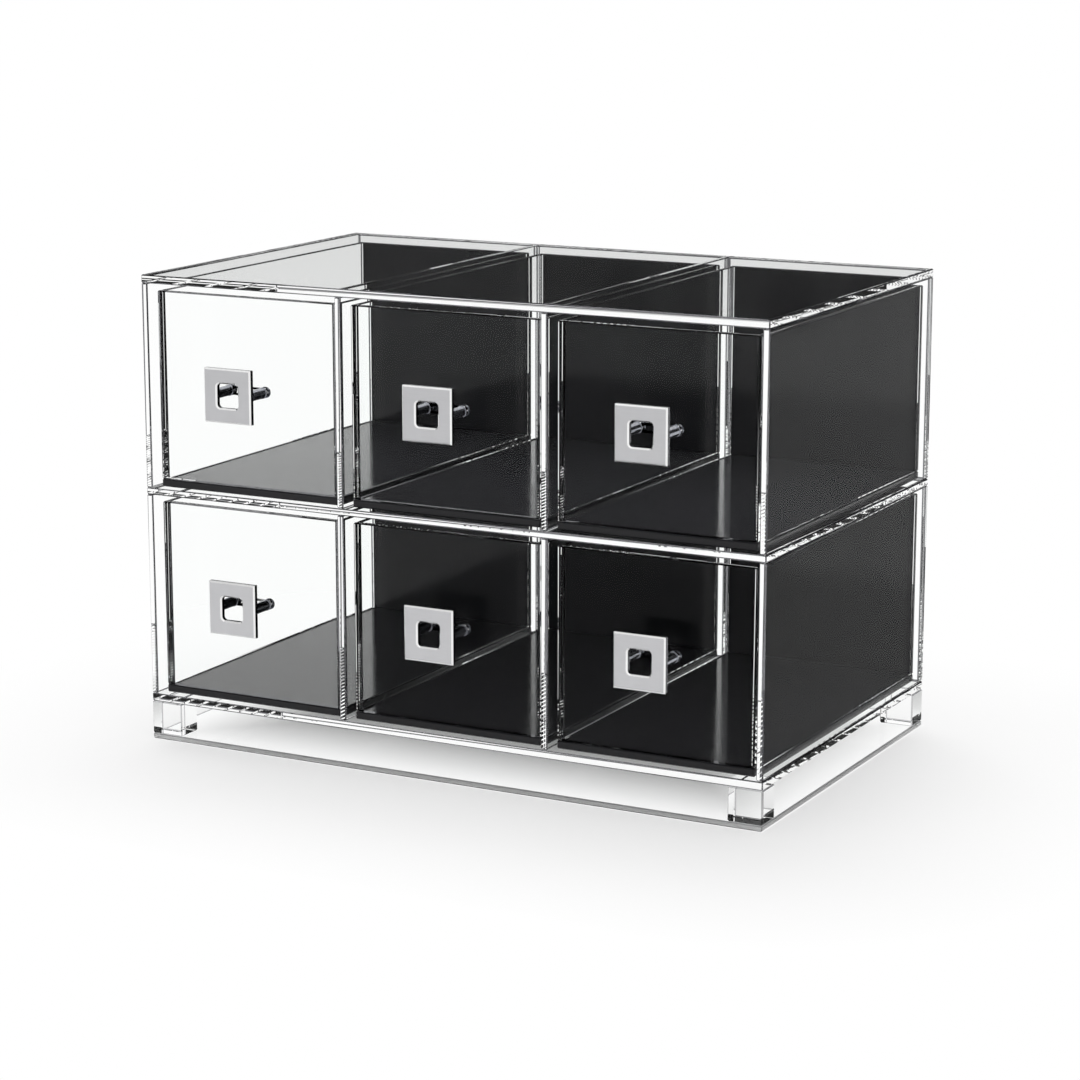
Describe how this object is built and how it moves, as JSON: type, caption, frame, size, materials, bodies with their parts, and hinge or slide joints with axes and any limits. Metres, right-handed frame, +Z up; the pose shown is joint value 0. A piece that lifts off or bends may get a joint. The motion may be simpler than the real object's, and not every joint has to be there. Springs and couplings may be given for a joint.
{
  "type": "countertop bread display case",
  "caption": "Clear countertop case on block feet with two rows of clear slide-out drawers, each with a black floor and rear wall and a square metal pull.",
  "frame": {"origin": "centre of the base plate's underside, on the surface that the case stands on", "axes": "+X to the right as seen from the front, +Y to the back, +Z up; the drawers open towards -Y"},
  "size_m": [0.48, 0.3075, 0.337],
  "materials": {
    "clear_acrylic": "polished, clear",
    "black_acrylic": "polished, black",
    "satin_steel": "satin with bright edges",
    "bright_steel": "polished"
  },
  "bodies": {
    "case": {"base_plate": "clear_acrylic", "feet": "clear_acrylic", "bottom_panel": "clear_acrylic", "shelf": "clear_acrylic", "top_panel": "clear_acrylic", "lower_side_panel_left": "clear_acrylic", "lower_side_panel_right": "clear_acrylic", "upper_side_panel_left": "clear_acrylic", "upper_side_panel_right": "clear_acrylic", "lower_divider_left": "clear_acrylic", "lower_divider_right": "clear_acrylic", "upper_divider_left": "clear_acrylic", "upper_divider_right": "clear_acrylic", "lower_back_panels": "clear_acrylic", "upper_back_panels": "clear_acrylic"},
    "lower_left_drawer": {"lower_left_drawer_floor": "black_acrylic", "lower_left_drawer_front": "clear_acrylic", "lower_left_drawer_side_walls": "clear_acrylic", "lower_left_drawer_rear_wall": "black_acrylic", "lower_left_drawer_pull_plate": "satin_steel", "lower_left_drawer_pull_posts": "bright_steel", "lower_left_drawer_pull_screws": "bright_steel"},
    "lower_middle_drawer": {"lower_middle_drawer_floor": "black_acrylic", "lower_middle_drawer_front": "clear_acrylic", "lower_middle_drawer_side_walls": "clear_acrylic", "lower_middle_drawer_rear_wall": "black_acrylic", "lower_middle_drawer_pull_plate": "satin_steel", "lower_middle_drawer_pull_posts": "bright_steel", "lower_middle_drawer_pull_screws": "bright_steel"},
    "lower_right_drawer": {"lower_right_drawer_floor": "black_acrylic", "lower_right_drawer_front": "clear_acrylic", "lower_right_drawer_side_walls": "clear_acrylic", "lower_right_drawer_rear_wall": "black_acrylic", "lower_right_drawer_pull_plate": "satin_steel", "lower_right_drawer_pull_posts": "bright_steel", "lower_right_drawer_pull_screws": "bright_steel"},
    "upper_left_drawer": {"upper_left_drawer_floor": "black_acrylic", "upper_left_drawer_front": "clear_acrylic", "upper_left_drawer_side_walls": "clear_acrylic", "upper_left_drawer_rear_wall": "black_acrylic", "upper_left_drawer_pull_plate": "satin_steel", "upper_left_drawer_pull_posts": "bright_steel", "upper_left_drawer_pull_screws": "bright_steel"},
    "upper_middle_drawer": {"upper_middle_drawer_floor": "black_acrylic", "upper_middle_drawer_front": "clear_acrylic", "upper_middle_drawer_side_walls": "clear_acrylic", "upper_middle_drawer_rear_wall": "black_acrylic", "upper_middle_drawer_pull_plate": "satin_steel", "upper_middle_drawer_pull_posts": "bright_steel", "upper_middle_drawer_pull_screws": "bright_steel"},
    "upper_right_drawer": {"upper_right_drawer_floor": "black_acrylic", "upper_right_drawer_front": "clear_acrylic", "upper_right_drawer_side_walls": "clear_acrylic", "upper_right_drawer_rear_wall": "black_acrylic", "upper_right_drawer_pull_plate": "satin_steel", "upper_right_drawer_pull_posts": "bright_steel", "upper_right_drawer_pull_screws": "bright_steel"}
  },
  "joints": [
    {"name": "lower_left_slide", "type": "slide", "parent": "case", "child": "lower_left_drawer", "axis": [0, -1, 0], "range_m": [0, 0.24]},
    {"name": "lower_middle_slide", "type": "slide", "parent": "case", "child": "lower_middle_drawer", "axis": [0, -1, 0], "range_m": [0, 0.24]},
    {"name": "lower_right_slide", "type": "slide", "parent": "case", "child": "lower_right_drawer", "axis": [0, -1, 0], "range_m": [0, 0.24]},
    {"name": "upper_left_slide", "type": "slide", "parent": "case", "child": "upper_left_drawer", "axis": [0, -1, 0], "range_m": [0, 0.24]},
    {"name": "upper_middle_slide", "type": "slide", "parent": "case", "child": "upper_middle_drawer", "axis": [0, -1, 0], "range_m": [0, 0.24]},
    {"name": "upper_right_slide", "type": "slide", "parent": "case", "child": "upper_right_drawer", "axis": [0, -1, 0], "range_m": [0, 0.24]}
  ]
}
